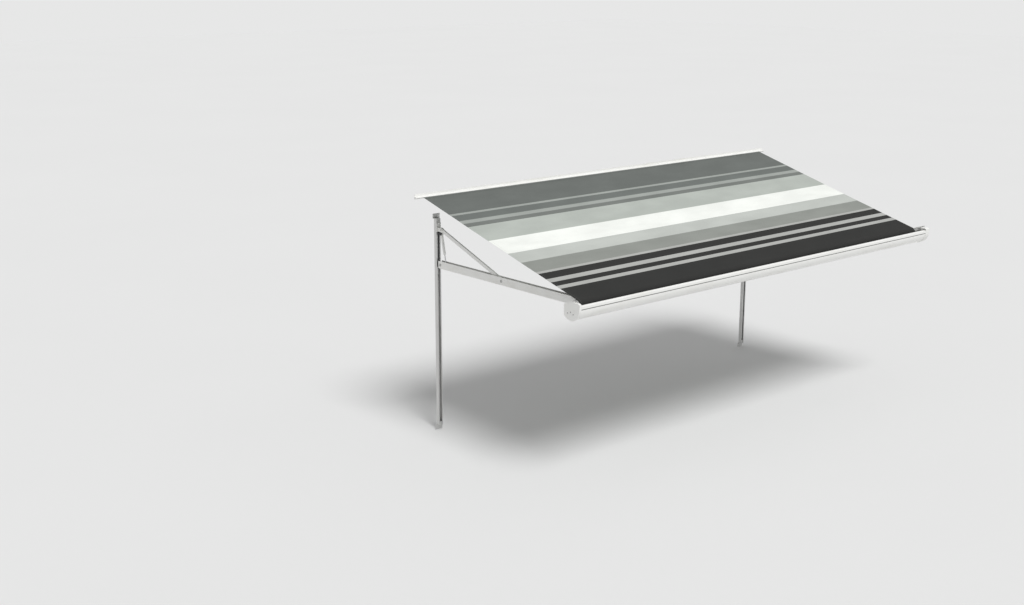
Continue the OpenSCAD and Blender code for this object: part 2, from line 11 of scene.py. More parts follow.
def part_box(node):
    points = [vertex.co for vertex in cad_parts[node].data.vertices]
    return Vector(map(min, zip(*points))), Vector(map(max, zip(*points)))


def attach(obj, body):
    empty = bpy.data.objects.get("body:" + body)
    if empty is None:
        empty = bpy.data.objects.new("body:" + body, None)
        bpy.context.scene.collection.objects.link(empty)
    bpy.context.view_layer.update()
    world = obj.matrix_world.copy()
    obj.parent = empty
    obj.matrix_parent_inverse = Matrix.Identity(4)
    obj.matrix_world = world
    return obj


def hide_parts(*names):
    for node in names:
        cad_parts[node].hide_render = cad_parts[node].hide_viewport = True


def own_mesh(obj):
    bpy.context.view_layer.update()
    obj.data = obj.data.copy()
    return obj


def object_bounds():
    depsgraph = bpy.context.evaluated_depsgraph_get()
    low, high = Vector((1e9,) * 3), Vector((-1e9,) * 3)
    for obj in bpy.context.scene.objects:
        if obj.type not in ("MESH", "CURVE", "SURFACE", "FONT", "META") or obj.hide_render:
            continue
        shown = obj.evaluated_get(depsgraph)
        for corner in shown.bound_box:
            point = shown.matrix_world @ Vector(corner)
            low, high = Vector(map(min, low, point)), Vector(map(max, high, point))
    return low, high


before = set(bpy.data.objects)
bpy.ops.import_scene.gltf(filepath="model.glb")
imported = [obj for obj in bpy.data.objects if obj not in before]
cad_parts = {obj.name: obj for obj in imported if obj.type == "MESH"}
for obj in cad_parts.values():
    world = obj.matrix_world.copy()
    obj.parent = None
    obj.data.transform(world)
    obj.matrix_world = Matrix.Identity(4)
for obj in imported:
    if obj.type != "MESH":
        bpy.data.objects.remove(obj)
CAD_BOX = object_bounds()

bl_info = {
    "name": "Roll Out Awning",
    "version": (1, 0, 0),
    "blender": (4, 5, 0),
    "location": "View3D > Sidebar > Awning",
    "description": "Dresses a roll out awning with striped cloth, painted metal and a plain studio",
    "category": "Object",
}

# Faces in the cloth, its flap and bead, one turn of the roll, a fastener's head and a rod
CLOTH_ROWS = 72
CLOTH_COLUMNS = 60
FLAP_ROWS = 6
BEAD_COLUMNS = 84
BEAD_SIDES = 20
ROLL_COLUMNS = 8
TURN_STEPS = 60
HEAD_SIDES = 36
ROD_SIDES = 28

# Angles in degrees below which an edge is shaded smooth
CLOTH_SMOOTH = 40
BEAD_SMOOTH = 50
STEEL_SMOOTH = 35

# The step up to the side hem in metres, and the hem's thickness in layers
HEM_STEP = 0.001
HEM_LAYERS = 1.6
# The share of the sag that reaches the sides
SIDE_SAG = 0.55
# Ripples along the side hems: how far in they reach in metres, their half waves along the slope,
# and the shift between the two sides
RIPPLE_REACH = 0.06
RIPPLE_WAVES = 11
RIPPLE_SHIFT = 1.3
# How late the cloth settles on the roll, as a power of the way along it
SETTLE_POWER = 8

# Turns on the tube, and the room between the last of them and the tube in metres
ROLL_TURNS = 3
TUBE_ROOM = 0.0003
# Of the room for one turn, the share that its cloth fills and the share that it draws in
TURN_FILL = 0.9
TURN_DRAW = 0.95
# Where the roll's first turn lies among the stripes
ROLL_STRIPE = 0.965

# The room under the flap in metres, the flap's thickness in layers and its step among the stripes
FLAP_ROOM = 0.0002
FLAP_LAYERS = 0.6
FLAP_STRIPE = 0.002
# The bead's least and added share of its radius, and the turn from one swell to the next
BEAD_LEAST = 0.975
BEAD_SWELL = 0.025
BEAD_TURN = 2.4

# How deep a shank starts in its head in metres
SHANK_LAP = 0.0001
# How much shorter than its head is wide a bolt is that lies across its arm, in metres
CROSS_BOLT_GAP = 0.0005

# Soft edges of CAD nodes: points nearer than the gap are one, faces within the flat angle are one
# flat, and edges over the edge angle are rounded in that many steps
WELD_GAP = 1e-5
FLAT_ANGLE = math.radians(0.5)
EDGE_ANGLE = math.radians(40)
EDGE_STEPS = 2
# Points of one solid nearer than this are one, in metres
SAME_POINT = 1e-6


def box_middle(node):
    """The middle of a CAD node's box."""
    low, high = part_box(node)
    return (low + high) / 2


def box_size(node):
    """The size of a CAD node's box."""
    low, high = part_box(node)
    return high - low


def colour(name, description, default):
    """A colour as it looks on a screen."""
    return FloatVectorProperty(
        name=name, description=description, default=default, subtype="COLOR_GAMMA", size=3, min=0.0, max=1.0
    )


def length(name, description, default):
    """A length in metres."""
    return FloatProperty(name=name, description=description, default=default, unit="LENGTH", precision=5)


class ClothSettings(bpy.types.PropertyGroup):
    """Sizes and colours of the striped cloth."""

    width: length("Width", "Width of the cloth along the wall", box_size("awning_fabric").x)
    reach: length("Reach", "Level distance from the bead to the front lip", 1.89)
    drop: length("Drop", "Height from the bead down to the front lip", 0.53)
    bead_out: length("Bead", "Distance of the bead from the wall", 0.02)
    rail_front: length("Rail front", "Distance along the cloth from the bead to the rail's front", 0.008)
    start: length("Start", "Distance along the cloth where it leaves the bead", 0.0043)
    end: length("End", "Distance along the cloth where it meets the roll", 1.8914)
    thickness: length("Thickness", "Thickness of one layer", 0.0008)
    lift: length("Lift", "Height of the cloth's middle layer over the bead's line", 0.0007)
    hem: length("Side hem", "Width of the folded hem along each side", 0.024)
    sag: length("Sag", "How far the cloth's middle hangs below a flat plane", 0.005)
    flutter: length("Flutter", "Height of the ripples along the side hems", 0.0005)
    stitch: length("Stitch", "Distance between the stitches of the side hems", 0.007)
    thread: length("Thread", "Distance between the threads of the weave", 0.0016)
    flap: length("Flap", "Length of the doubled cloth that stays at the rail", 0.034)
    slate: colour("Slate", "Wide band next to the rail", (0.438, 0.454, 0.442))
    grey: colour("Grey", "Second band", (0.452, 0.470, 0.458))
    light_line: colour("Light line", "Thin light lines among the greys", (0.650, 0.668, 0.650))
    dark_line: colour("Dark line", "Thin darker line above the sage band", (0.485, 0.500, 0.486))
    sage: colour("Sage", "Pale grey green band", (0.728, 0.750, 0.725))
    white: colour("White", "White band", (0.975, 0.985, 0.965))
    silver: colour("Silver", "Light grey band below the white one", (0.770, 0.785, 0.765))
    mid_grey: colour("Mid grey", "Mid grey band", (0.588, 0.600, 0.580))
    pale_line: colour("Pale line", "Pale lines between the charcoal bands", (0.715, 0.718, 0.706))
    charcoal: colour("Charcoal", "Charcoal bands next to the front", (0.208, 0.209, 0.205))


class FinishSettings(bpy.types.PropertyGroup):
    """Colours of the metal, plastic and rubber finishes, and sizes of their edges and fasteners."""

    white_paint: colour("White paint", "Powder coat of the arms and housing", (0.945, 0.945, 0.935))
    white_plastic: colour("White plastic", "Moulded end caps", (0.930, 0.930, 0.920))
    aluminium: colour("Aluminium", "Anodised rail, channels and roller tube", (0.830, 0.830, 0.825))
    steel: colour("Steel", "Zinc plated pins, plates and bolts", (0.700, 0.700, 0.695))
    chrome: colour("Chrome", "Polished rods of the gas springs", (0.860, 0.860, 0.865))
    dark_plastic: colour("Dark plastic", "Carriages and motor", (0.230, 0.230, 0.235))
    rubber: colour("Rubber", "Bumpers at the channels' feet", (0.150, 0.150, 0.150))
    seal: colour("Seal", "Grey rubber seal in the groove under the lip", (0.560, 0.560, 0.555))
    soft: length("Soft edge", "Radius on the sharp edges of painted and moulded pieces", 0.0009)
    bolt_head: length("Bolt head", "Height of a bolt's head with its washer", 0.005)
    bolt_shank: length("Bolt shank", "Radius of a bolt's shank", 0.0039)
    pivot_head: length("Pivot head", "Height of a pivot's head", 0.003)
    pivot_pin: length("Pivot pin", "Radius of the arms' pivot pins", 0.0079)


class StageSettings(bpy.types.PropertyGroup):
    """Camera, floor and light."""

    camera_place: FloatVectorProperty(
        name="Camera place",
        description="Where the camera stands",
        default=(-8.6019, -8.6981, 1.8392),
        unit="LENGTH",
    )
    camera_turn: FloatVectorProperty(
        name="Camera turn",
        description="Which way the camera looks",
        default=(math.radians(75.9187), 0.0, math.radians(-40.6343)),
        subtype="EULER",
    )
    lens: FloatProperty(name="Lens", description="Focal length of the camera in millimetres", default=47.70)
    floor_gap: length("Floor gap", "Distance of the floor below the channels' feet", 0.006)
    floor_size: length("Floor size", "Half the width of the floor", 60.0)
    floor_rows: IntProperty(name="Floor rows", description="Rows of faces in the floor", default=24)
    floor_colour: colour("Floor", "Pale floor", (0.905, 0.906, 0.905))
    backdrop: colour("Backdrop", "Plain backdrop behind the floor", (0.905, 0.906, 0.905))
    sky: FloatProperty(name="Sky", description="Strength of the even light from all round", default=0.42)
    sun: FloatProperty(name="Sun", description="Strength of the soft light from above", default=2.2)
    sun_turn: FloatVectorProperty(
        name="Sun turn",
        description="Which way the soft light from above falls",
        default=(math.radians(34), math.radians(-6), math.radians(-4)),
        subtype="EULER",
    )
    sun_spread: FloatProperty(
        name="Sun spread",
        description="How wide the soft light is",
        default=math.radians(24),
        subtype="ANGLE",
    )


def linear(screen):
    """A screen colour as the light values that a shader takes."""
    return tuple(c / 12.92 if c <= 0.04045 else ((c + 0.055) / 1.055) ** 2.4 for c in screen) + (1.0,)


class Wire:
    """An output in a node tree, so that maths on its numbers reads as Python."""

    def __init__(self, nodes, socket):
        self.nodes = nodes
        self.socket = socket

    def maths(self, operation, first, second=0.0):
        made = self.nodes.node("ShaderNodeMath", {"operation": operation}, {0: first, 1: second})
        return Wire(self.nodes, made.outputs[0])

    def __add__(self, other):
        return self.maths("ADD", self, other)

    def __radd__(self, other):
        return self.maths("ADD", other, self)

    def __sub__(self, other):
        return self.maths("SUBTRACT", self, other)

    def __rsub__(self, other):
        return self.maths("SUBTRACT", other, self)

    def __mul__(self, other):
        return self.maths("MULTIPLY", self, other)

    def __rmul__(self, other):
        return self.maths("MULTIPLY", other, self)

    def __abs__(self):
        return self.maths("ABSOLUTE", self)

    def sine(self):
        return self.maths("SINE", self)

    def larger(self, other):
        return self.maths("MAXIMUM", self, other)


class Nodes:
    """A node tree under construction, with one method for all its nodes."""

    def __init__(self, tree):
        self.tree = tree

    def node(self, kind, settings=None, inputs=None):
        """A node of that kind, with its settings made first and then its sockets filled or linked."""
        made = self.tree.nodes.new(kind)
        for key, value in (settings or {}).items():
            if key == "stops":
                self.fill_ramp(made.color_ramp, value)
            elif key == "interpolation":
                made.color_ramp.interpolation = value
            else:
                setattr(made, key, value)
        for key, value in (inputs or {}).items():
            self.fill(made.inputs[key], value)
        return made

    def fill(self, socket, value):
        """Links a wire to a socket, or sets the socket's own value."""
        if isinstance(value, Wire):
            self.tree.links.new(value.socket, socket)
        else:
            socket.default_value = value

    def fill_ramp(self, ramp, stops):
        """Gives a colour ramp its stops."""
        while len(ramp.elements) < len(stops):
            ramp.elements.new(1.0)
        for element, (place, tint) in zip(ramp.elements, stops):
            element.position = place
            element.color = tint

    def out(self, made, socket=0):
        """An output of a node as a wire."""
        return Wire(self, made.outputs[socket])


class Finish(Nodes):
    """A material under construction."""

    def __init__(self, name):
        self.material = bpy.data.materials.new(name)
        self.material.use_nodes = True
        super().__init__(self.material.node_tree)
        self.shader = next(n for n in self.tree.nodes if n.type == "BSDF_PRINCIPLED")

    def place(self, stretch=(1.0, 1.0, 1.0)):
        """The place on the object in metres, stretched along its axes."""
        where = self.out(self.node("ShaderNodeTexCoord"), "Object")
        scaled = self.node("ShaderNodeMapping", None, {"Vector": where, "Scale": stretch})
        return self.out(scaled)

    def noise(self, scale, detail=4.0, stretch=(1.0, 1.0, 1.0)):
        """Even noise between 0 and 1."""
        made = self.node(
            "ShaderNodeTexNoise", None, {"Vector": self.place(stretch), "Scale": scale, "Detail": detail}
        )
        return self.out(made, "Fac")

    def between(self, value, low, high):
        """A wire's value as a share of the way from low to high, kept within 0 and 1."""
        made = self.node(
            "ShaderNodeMapRange", {"clamp": True}, {"Value": value, "From Min": low, "From Max": high}
        )
        return self.out(made)

    def mix(self, share, first, second, way="MIX"):
        """Two colours mixed by a share."""
        made = self.node(
            "ShaderNodeMix", {"data_type": "RGBA", "blend_type": way}, {0: share, 6: first, 7: second}
        )
        return self.out(made, 2)

    def relief(self, height, strength, distance):
        """A bump from a height."""
        made = self.node(
            "ShaderNodeBump", None, {"Height": height, "Strength": strength, "Distance": distance}
        )
        return self.out(made)

    def coat(self, **sockets):
        """Fills the shader's sockets, by their names with _ for a space."""
        for key, value in sockets.items():
            self.fill(self.shader.inputs[key.replace("_", " ")], value)
        return self.material


def painted(name, tint, gloss=0.34):
    """Powder coat: fine orange peel, a little dust in streaks and faint scuffs."""
    finish = Finish(name)
    base = linear(tint)
    dust = finish.between(finish.noise(3.2, 5.0, (1.0, 3.0, 6.0)), 0.46, 0.80)
    scuff = finish.between(finish.noise(55.0, 3.0, (1.0, 4.0, 4.0)), 0.64, 0.78)
    dusty = finish.mix(dust * 0.40, base, linear((tint[0] * 0.91, tint[1] * 0.905, tint[2] * 0.88)))
    worn = finish.mix(scuff * 0.30, dusty, linear((tint[0] * 0.86, tint[1] * 0.86, tint[2] * 0.86)))
    peel = finish.noise(900.0, 2.0)
    return finish.coat(
        Base_Color=worn,
        Roughness=gloss + dust * 0.16 + scuff * 0.10,
        Normal=finish.relief(peel, 0.10, 0.0002),
        Coat_Weight=0.12,
        Coat_Roughness=0.2,
    )


def moulded(name, tint, rough=0.46):
    """Moulded plastic: fine spark grain and a slight change of tone."""
    finish = Finish(name)
    tone = finish.between(finish.noise(4.5, 4.0), 0.35, 0.75)
    grime = finish.between(finish.noise(18.0, 5.0), 0.58, 0.82)
    toned = finish.mix(tone * 0.30, linear(tint), linear(tuple(c * 0.93 for c in tint)))
    dirty = finish.mix(grime * 0.20, toned, linear(tuple(c * 0.82 for c in tint)))
    grain = finish.noise(1600.0, 2.0)
    return finish.coat(
        Base_Color=dirty,
        Roughness=rough + grime * 0.18,
        Normal=finish.relief(grain, 0.18, 0.0002),
        Specular_IOR_Level=0.45,
    )


def drawn_metal(name, tint, rough, along):
    """Bare metal with fine lines along one axis, and a few dull patches."""
    finish = Finish(name)
    stretch = tuple(1.0 if i == along else 60.0 for i in range(3))
    lines = finish.noise(14.0, 3.0, stretch)
    dull = finish.between(finish.noise(7.0, 4.0), 0.52, 0.78)
    shaded = finish.mix(lines * 0.35, linear(tint), linear(tuple(c * 0.84 for c in tint)))
    return finish.coat(
        Base_Color=finish.mix(dull * 0.25, shaded, linear(tuple(c * 0.88 for c in tint))),
        Metallic=1.0,
        Roughness=rough + lines * 0.10 + dull * 0.14,
        Normal=finish.relief(lines, 0.12, 0.0003),
    )


def rubbery(name, tint):
    """Matt rubber with a bloom of grey."""
    finish = Finish(name)
    bloom = finish.between(finish.noise(30.0, 4.0), 0.50, 0.85)
    return finish.coat(
        Base_Color=finish.mix(bloom * 0.35, linear(tint), linear(tuple(0.75 * c + 0.12 for c in tint))),
        Roughness=0.70 + bloom * 0.18,
        Normal=finish.relief(finish.noise(700.0, 2.0), 0.2, 0.0003),
    )


def stripe_stops(cloth):
    """Where each stripe starts, as a share of the way from the rail to the lip, and its colour."""
    return [
        (0.000, linear(cloth.slate)),
        (0.174, linear(cloth.light_line)),
        (0.190, linear(cloth.grey)),
        (0.239, linear(cloth.light_line)),
        (0.269, linear(cloth.dark_line)),
        (0.299, linear(cloth.sage)),
        (0.433, linear(cloth.white)),
        (0.551, linear(cloth.silver)),
        (0.634, linear(cloth.mid_grey)),
        (0.719, linear(cloth.pale_line)),
        (0.737, linear(cloth.charcoal)),
        (0.783, linear(cloth.pale_line)),
        (0.809, linear(cloth.charcoal)),
        (0.841, linear(cloth.pale_line)),
        (0.864, linear(cloth.charcoal)),
    ]


def striped_cloth(cloth):
    """Woven cloth with its stripes across the slope, a plain weave and a little dust near the rail."""
    finish = Finish("striped_cloth")
    run = math.hypot(cloth.reach, cloth.drop)
    uv = finish.node("ShaderNodeUVMap", {"uv_map": "cloth"})
    axes = finish.node("ShaderNodeSeparateXYZ", None, {0: finish.out(uv)})
    across, down = finish.out(axes, 0), finish.out(axes, 1)
    stripes = finish.out(
        finish.node(
            "ShaderNodeValToRGB", {"interpolation": "CONSTANT", "stops": stripe_stops(cloth)}, {0: down}
        )
    )
    turns = 2 * math.pi / cloth.thread
    warp = (across * (cloth.width * turns)).sine()
    weft = (down * (run * turns)).sine()
    weave = warp * weft * 0.5 + 0.5
    slub = finish.noise(26.0, 4.0, (1.0, 14.0, 14.0))
    cloud = finish.between(finish.noise(1.7, 4.0), 0.35, 0.75)
    wash = finish.between(finish.noise(2.6, 6.0, (1.0, 2.2, 2.2)), 0.38, 0.66)
    dust = finish.between(down, 0.10, 0.0) * cloud
    shade = 0.90 + wash * 0.16
    grey = finish.node("ShaderNodeCombineColor", None, {0: shade, 1: shade, 2: shade})
    washed = finish.mix(0.62, stripes, finish.out(grey), "MULTIPLY")
    threads = finish.mix(weave * 0.08 + slub * 0.06, washed, (0.0, 0.0, 0.0, 1.0))
    from_edge = (0.5 - abs(across - 0.5)) * cloth.width
    seam = finish.between(abs(from_edge - cloth.hem * 0.82), 0.0013, 0.0009)
    dash = finish.between((down * (run * 2 * math.pi / cloth.stitch)).sine(), -0.2, 0.1)
    sewn = finish.mix(seam * dash * 0.55, threads, linear((0.50, 0.51, 0.50)))
    return finish.coat(
        Base_Color=finish.mix(dust * 0.16, sewn, linear((0.34, 0.335, 0.32))),
        Roughness=0.82 + slub * 0.10,
        Normal=finish.relief(weave + slub * 0.6 + seam * dash * 2.0 - seam * 0.8, 0.25, 0.0004),
        Specular_IOR_Level=0.12,
    )


def pale_floor(stage):
    """A plain pale floor with a little tone."""
    finish = Finish("pale_floor")
    tone = finish.between(finish.noise(0.35, 3.0), 0.3, 0.8)
    pale = stage.floor_colour
    return finish.coat(
        Base_Color=finish.mix(tone * 0.4, linear(pale), linear(tuple(c * 0.985 for c in pale))),
        Roughness=0.92,
        Specular_IOR_Level=0.1,
    )


def finish_nodes(material, *names, soft=0.0):
    """Gives CAD nodes a material and, where a soft radius is given, rounds their sharp edges."""
    for name in names:
        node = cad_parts[name]
        node.data.materials.clear()
        node.data.materials.append(material)
        if soft:
            weld = node.modifiers.new("weld", "WELD")
            weld.merge_threshold = WELD_GAP
            flats = node.modifiers.new("flats", "DECIMATE")
            flats.decimate_type = "DISSOLVE"
            flats.angle_limit = FLAT_ANGLE
            bevel = node.modifiers.new("edges", "BEVEL")
            bevel.width = soft
            bevel.segments = EDGE_STEPS
            bevel.limit_method = "ANGLE"
            bevel.angle_limit = EDGE_ANGLE
            node.modifiers.new("shading", "WEIGHTED_NORMAL").keep_sharp = True


def add_object(name, mesh, material, body):
    """A new piece from a mesh, which rides on a body."""
    mesh.materials.append(material)
    piece = bpy.data.objects.new(name, mesh)
    bpy.context.scene.collection.objects.link(piece)
    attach(piece, body)
    return piece


def finished_mesh(name, bm, smooth_under=None):
    """A mesh from a bmesh, with its faces outward and edges under an angle shaded smooth."""
    bmesh.ops.recalc_face_normals(bm, faces=bm.faces)
    mesh = bpy.data.meshes.new(name)
    bm.to_mesh(mesh)
    bm.free()
    if smooth_under is not None:
        mesh.shade_smooth()
        mesh.set_sharp_from_angle(angle=math.radians(smooth_under))
    return mesh


def cloth_piece(name, bm, smooth_under, body, node):
    """A striped piece from a bmesh, in place of a CAD node."""
    mesh = finished_mesh(name, bm, smooth_under)
    piece = add_object(name, mesh, bpy.data.materials["striped_cloth"], body)
    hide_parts(node)
    return piece


def steel_piece(name, bm, body, node):
    """A steel piece from a bmesh, in place of a CAD node."""
    mesh = finished_mesh(name, bm, STEEL_SMOOTH)
    piece = add_object(name, mesh, bpy.data.materials["zinc_steel"], body)
    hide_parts(node)


def spread(first, last, steps):
    """Evenly spaced values from first to last."""
    return [first + (last - first) * i / steps for i in range(steps + 1)]


def circle(radius, sides):
    """Points round a circle in its own plane."""
    turns = [2 * math.pi * k / sides for k in range(sides)]
    return [(radius * math.cos(turn), radius * math.sin(turn)) for turn in turns]


def loft(bm, rings):
    """Joins rings of vertices in their order and closes both ends."""
    count = len(rings[0])
    for first, second in zip(rings, rings[1:]):
        for k in range(count):
            bm.faces.new((first[k], first[(k + 1) % count], second[(k + 1) % count], second[k]))
    bm.faces.new(rings[0])
    bm.faces.new(rings[-1])


class Slope:
    """The line that the cloth runs along, from the bead down to the front."""

    def __init__(self, cloth):
        turn = math.atan2(cloth.drop, cloth.reach)
        self.bead = Vector((0.0, -cloth.bead_out, 0.0))
        self.down = Vector((0.0, -math.cos(turn), -math.sin(turn)))
        self.up = Vector((0.0, -math.sin(turn), math.cos(turn)))
        self.run = math.hypot(cloth.reach, cloth.drop) - cloth.rail_front

    def point(self, x, along, lift):
        """A point at a distance along the slope and a height over it."""
        return self.bead + self.down * along + self.up * lift + Vector((x, 0.0, 0.0))


def sheet_between(bm, tops, bottoms, uv_at):
    """A closed thin sheet from two grids of points, with its cloth coordinates."""
    layer = bm.loops.layers.uv.new("cloth")
    upper = [[bm.verts.new(p) for p in row] for row in tops]
    lower = [[bm.verts.new(p) for p in row] for row in bottoms]
    spots = {}
    for grid in (upper, lower):
        for i, row in enumerate(grid):
            for j, vert in enumerate(row):
                spots[vert] = uv_at(i, j)
    rows, columns = len(upper), len(upper[0])
    for i in range(rows - 1):
        for j in range(columns - 1):
            bm.faces.new((upper[i][j], upper[i][j + 1], upper[i + 1][j + 1], upper[i + 1][j]))
            bm.faces.new((lower[i][j], lower[i + 1][j], lower[i + 1][j + 1], lower[i][j + 1]))
    for i in range(rows - 1):
        for j in (0, columns - 1):
            bm.faces.new((upper[i][j], upper[i + 1][j], lower[i + 1][j], lower[i][j]))
    for j in range(columns - 1):
        for i in (0, rows - 1):
            bm.faces.new((upper[i][j], lower[i][j], lower[i][j + 1], upper[i][j + 1]))
    for face in bm.faces:
        for loop in face.loops:
            loop[layer].uv = spots[loop.vert]


class AWNING_OT_cloth(bpy.types.Operator):
    """Stretch the striped cloth from the rail to the roll"""

    bl_idname = "awning.cloth"
    bl_label = "Striped Cloth"

    def execute(self, context):
        cloth = context.scene.awning_cloth
        slope = Slope(cloth)
        half = cloth.width / 2
        inner = half - cloth.hem
        xs = [-half, -inner - HEM_STEP, *spread(-inner, inner, CLOTH_COLUMNS), inner + HEM_STEP, half]
        alongs = spread(cloth.start, cloth.end, CLOTH_ROWS)
        roll_top = slope.up.dot(box_middle("fabric_roll") - slope.bead) + box_size("fabric_roll").z / 2
        settle = roll_top - cloth.thickness / 2 - cloth.lift

        def lift(x, along):
            share = (along - cloth.start) / (cloth.end - cloth.start)
            hang = 4 * share * (1 - share)
            belly = cloth.sag * hang * (SIDE_SAG + (1 - SIDE_SAG) * (1 - (x / half) ** 2))
            edge = math.exp(-(half - abs(x)) / RIPPLE_REACH)
            wave = math.sin(RIPPLE_WAVES * math.pi * share + (RIPPLE_SHIFT if x > 0 else 0.0))
            ripple = cloth.flutter * edge * hang * wave
            return cloth.lift - belly + ripple + settle * share**SETTLE_POWER

        def layer(x):
            return cloth.thickness if abs(x) < inner + HEM_STEP / 2 else HEM_LAYERS * cloth.thickness

        def spot(i, j):
            return xs[j] / cloth.width + 0.5, max(0.0, (alongs[i] - cloth.rail_front) / slope.run)

        tops = [[slope.point(x, s, lift(x, s) + layer(x) / 2) for x in xs] for s in alongs]
        bottoms = [[slope.point(x, s, lift(x, s) - layer(x) / 2) for x in xs] for s in alongs]
        bm = bmesh.new()
        sheet_between(bm, tops, bottoms, spot)
        piece = cloth_piece("awning_cloth", bm, CLOTH_SMOOTH, "root", "awning_fabric")
        slope.point(0.0, cloth.start, 0.0)
        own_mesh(piece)
        return {"FINISHED"}


class AWNING_OT_roll(bpy.types.Operator):
    """Wind the cloth's last turns on the roller tube"""

    bl_idname = "awning.roll"
    bl_label = "Wound Cloth"

    def execute(self, context):
        cloth = context.scene.awning_cloth
        slope = Slope(cloth)
        low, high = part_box("fabric_roll")
        middle = box_middle("fabric_roll")
        outer = (high.z - low.z) / 2
        tube = box_size("roller_tube").z / 2
        gap = (outer - tube - TUBE_ROOM) / ROLL_TURNS
        thick = min(cloth.thickness, gap * TURN_FILL)
        ends = (low.x, high.x)
        xs = spread(*ends, ROLL_COLUMNS)
        start_turn = math.radians(90) + math.atan2(cloth.drop, cloth.reach)

        def row(i, extra):
            turn = start_turn + 2 * math.pi * i / TURN_STEPS
            radius = outer - thick - gap * i / TURN_STEPS * TURN_DRAW + extra
            across, up = radius * math.cos(turn), radius * math.sin(turn)
            return [Vector((x, middle.y + across, middle.z + up)) for x in xs]

        def spot(i, j):
            wound_off = 2 * math.pi * outer * i / TURN_STEPS
            return xs[j] / cloth.width + 0.5, ROLL_STRIPE + wound_off / slope.run

        rows = range(TURN_STEPS * ROLL_TURNS + 1)
        bm = bmesh.new()
        sheet_between(bm, [row(i, thick) for i in rows], [row(i, 0.0) for i in rows], spot)
        piece = cloth_piece("wound_cloth", bm, CLOTH_SMOOTH, "roller", "fabric_roll")
        return {"FINISHED"}


class AWNING_OT_bead(bpy.types.Operator):
    """Sew the bead and its doubled flap that stay in the rail"""

    bl_idname = "awning.bead"
    bl_label = "Bead and Flap"

    def execute(self, context):
        cloth = context.scene.awning_cloth
        slope = Slope(cloth)
        radius = box_size("fabric_bead").z / 2
        half = cloth.width / 2
        xs = spread(-half, half, BEAD_COLUMNS)
        alongs = spread(cloth.start, cloth.flap, FLAP_ROWS)
        bottom = cloth.lift + cloth.thickness + FLAP_ROOM
        top = bottom + cloth.thickness * FLAP_LAYERS
        bm = bmesh.new()
        sheet_between(
            bm,
            [[slope.point(x, s, top) for x in xs] for s in alongs],
            [[slope.point(x, s, bottom) for x in xs] for s in alongs],
            lambda i, j: (xs[j] / cloth.width + 0.5, FLAP_STRIPE + FLAP_STRIPE * i),
        )
        rings = []
        for j, x in enumerate(xs):
            swollen = circle(radius * (BEAD_LEAST + BEAD_SWELL * math.cos(j * BEAD_TURN)), BEAD_SIDES)
            rings.append([bm.verts.new(slope.bead + Vector((x, *spot))) for spot in swollen])
        loft(bm, rings)
        cloth_piece("bead_and_flap", bm, BEAD_SMOOTH, "root", "fabric_bead")
        return {"FINISHED"}


def hexagon(turn):
    """How far out a hexagon of unit inner radius reaches at an angle."""
    return 1.0 / math.cos((turn + math.pi / 6) % (math.pi / 3) - math.pi / 6)


def fastener(bm, seat, out, radius, height, hex_head):
    """A bolt or screw head on its seat: a hex head on a washer, or a domed head with a socket."""
    turn = out.to_track_quat("Z", "Y").to_matrix().to_4x4()
    place = Matrix.Translation(seat) @ turn
    angles = [2 * math.pi * k / HEAD_SIDES for k in range(HEAD_SIDES)]
    flat = [1.0] * HEAD_SIDES
    six = [hexagon(a) for a in angles]
    if hex_head:
        across = radius * 0.74
        profile = [
            (radius, 0.0, flat),
            (radius, height * 0.22, flat),
            (radius * 0.93, height * 0.28, flat),
            (across, height * 0.28, six),
            (across, height * 0.88, six),
            (across * 0.95, height, flat),
            (across * 0.55, height * 0.97, flat),
        ]
    else:
        hole = radius * 0.42
        profile = [
            (radius, 0.0, flat),
            (radius, height * 0.35, flat),
            (radius * 0.93, height * 0.68, flat),
            (radius * 0.76, height * 0.92, flat),
            (hole * 1.30, height, flat),
            (hole, height * 0.97, six),
            (hole * 0.96, height * 0.30, six),
        ]
    rings = []
    for r, z, shape in profile:
        spots = [(r * s * math.cos(a), r * s * math.sin(a), z) for a, s in zip(angles, shape)]
        rings.append([bm.verts.new(place @ Vector(spot)) for spot in spots])
    loft(bm, rings)


def solid_boxes(node):
    """The boxes of the separate solids in a CAD node, as pairs of corners."""
    bm = bmesh.new()
    bm.from_mesh(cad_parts[node].data)
    bmesh.ops.remove_doubles(bm, verts=bm.verts, dist=SAME_POINT)
    left = set(bm.verts)
    boxes = []
    while left:
        todo, group = [left.pop()], []
        while todo:
            vert = todo.pop()
            group.append(vert.co.copy())
            for edge in vert.link_edges:
                other = edge.other_vert(vert)
                if other in left:
                    left.discard(other)
                    todo.append(other)
        low = Vector([min(p[i] for p in group) for i in range(3)])
        high = Vector([max(p[i] for p in group) for i in range(3)])
        boxes.append((low, high))
    bm.free()
    return boxes


def rod(bm, start, end, radius):
    """A closed round rod from one point to another."""
    turn = (end - start).to_track_quat("Z", "Y").to_matrix()
    rings = []
    for point in (start, end):
        spots = circle(radius, ROD_SIDES)
        rings.append([bm.verts.new(point + turn @ Vector((*spot, 0.0))) for spot in spots])
    loft(bm, rings)


def arm_middle(x):
    """The middle of the arm on that side."""
    return box_middle("arm_left" if x < 0 else "arm_right").x


